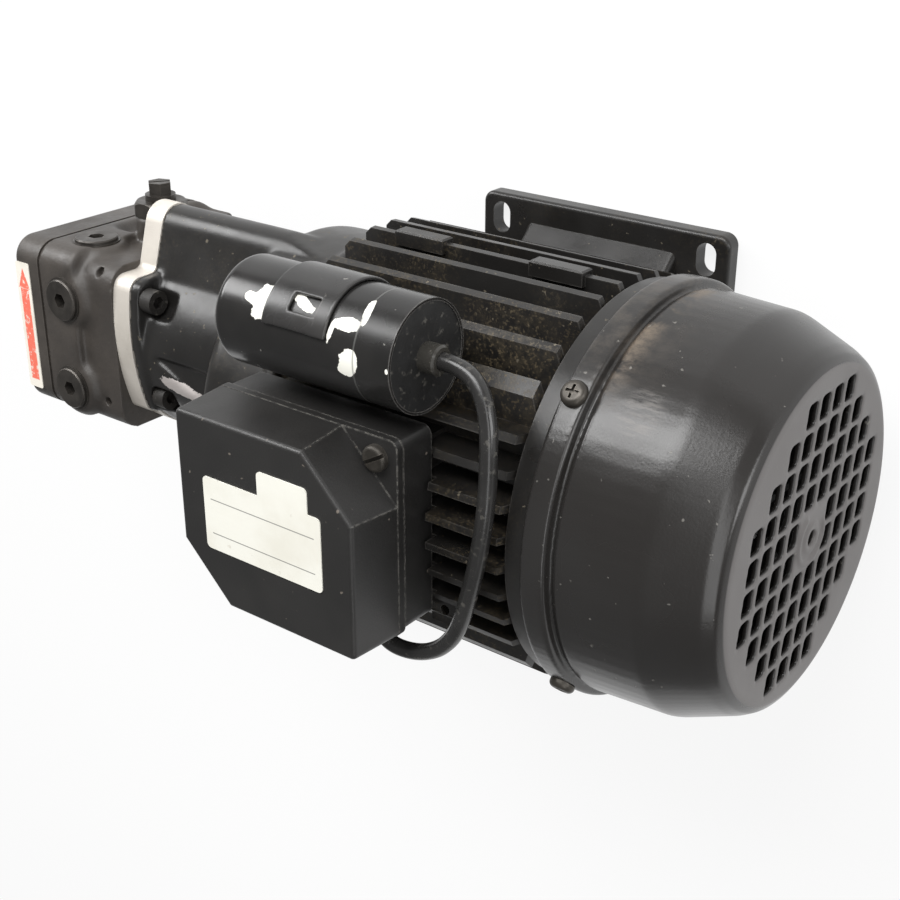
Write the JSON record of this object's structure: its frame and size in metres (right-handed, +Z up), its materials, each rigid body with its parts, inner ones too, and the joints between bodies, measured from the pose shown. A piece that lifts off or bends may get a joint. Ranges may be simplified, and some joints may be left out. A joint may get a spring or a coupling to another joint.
{
  "type": "oil burner pump unit",
  "caption": "Foot-mounted finned motor driving an oil gear pump through a coupling, with terminal box, run capacitor and fan cover.",
  "frame": {"origin": "centre of the four foot slots, on the underside of the foot plate", "axes": "+X along the motor axis towards the fan, +Z up from the foot towards the terminal box"},
  "size_m": [0.2908, 0.1314, 0.1598],
  "materials": {
    "black_paint": "black semi-gloss paint over a casting",
    "bare_aluminium": "machined",
    "pump_casting": "cast, matte",
    "steel": "turned",
    "zinc_steel": "zinc plated",
    "black_plastic": "satin",
    "grey_plastic": "matte",
    "capacitor_plastic": "gloss",
    "black_rubber": "satin",
    "gasket_paper": "matte",
    "copper": "enamelled wire",
    "core_steel": "laminated",
    "label_film": "matte",
    "cream_film": "matte",
    "coupling_plastic": "matte",
    "brass": "turned"
  },
  "bodies": {
    "unit": {"adapter_plate": "bare_aluminium", "adapter_screws": "steel", "arrow_strip": "cream_film", "bearing_outer_rings": "steel", "cable_entry_grommet": "black_rubber", "capacitor_can": "capacitor_plastic", "capacitor_clip": "zinc_steel", "capacitor_end_disc": "capacitor_plastic", "capacitor_lead": "black_rubber", "capacitor_outlet": "black_rubber", "clip_screw": "zinc_steel", "drive_end_housing": "black_paint", "fan_cover": "black_plastic", "fan_cover_screws": "zinc_steel", "foot_plate": "black_paint", "foot_screws": "steel", "gear_plate": "steel", "gear_plate_screws": "steel", "idler_pin": "steel", "lead_gland": "black_rubber", "motor_housing": "black_paint", "plug_washers": "bare_aluminium", "port_plugs": "zinc_steel", "pump_body": "pump_casting", "pump_cover": "pump_casting", "pump_cover_screws": "steel", "pump_gasket": "gasket_paper", "rating_label": "label_film", "rear_end_shield": "black_paint", "regulator_cap": "zinc_steel", "regulator_screw": "zinc_steel", "regulator_spring": "steel", "regulator_washer": "zinc_steel", "shaft_seal": "black_rubber", "stator_core": "core_steel", "stator_windings": "copper", "strainer": "brass", "terminal_block": "grey_plastic", "terminal_block_screws": "brass", "terminal_box_base": "grey_plastic", "terminal_box_cover": "grey_plastic", "terminal_box_gasket": "black_rubber", "terminal_box_screws": "zinc_steel", "tie_bolts": "steel"},
    "rotor": {"motor_shaft": "steel", "rotor_core": "core_steel", "rotor_end_rings": "bare_aluminium", "bearing_inner_rings": "steel", "cooling_fan": "black_plastic", "fan_retaining_ring": "steel", "motor_coupling_hub": "bare_aluminium", "pump_coupling_hub": "bare_aluminium", "coupling_spider": "coupling_plastic", "coupling_set_screws": "steel", "pump_shaft": "steel", "drive_gear": "steel", "gear_key": "steel"},
    "ball_sets": {"bearing_balls": "steel"},
    "driven_gear": {"driven_gear": "steel"},
    "regulator_piston": {"regulator_piston": "steel"}
  },
  "joints": [
    {"name": "rotor_spin", "type": "hinge", "parent": "unit", "child": "rotor", "pos_m": [0, 0, 0.069], "axis": [1, 0, 0], "continuous": true},
    {"name": "ball_spin", "type": "hinge", "parent": "unit", "child": "ball_sets", "pos_m": [0, 0, 0.069], "axis": [1, 0, 0], "continuous": true},
    {"name": "driven_gear_spin", "type": "hinge", "parent": "unit", "child": "driven_gear", "pos_m": [-0.155, 0.018, 0.069], "axis": [1, 0, 0], "continuous": true},
    {"name": "regulator_slide", "type": "slide", "parent": "unit", "child": "regulator_piston", "axis": [0, 1, 0], "range_m": [0, 0.002], "stiffness_N_per_m": 2000, "springref_m": -0.001, "deforming": ["regulator_spring"]}
  ],
  "couplings": [
    {"joint": "ball_spin", "follows": "rotor_spin", "ratio": 0.38},
    {"joint": "driven_gear_spin", "follows": "rotor_spin", "ratio": -1}
  ]
}
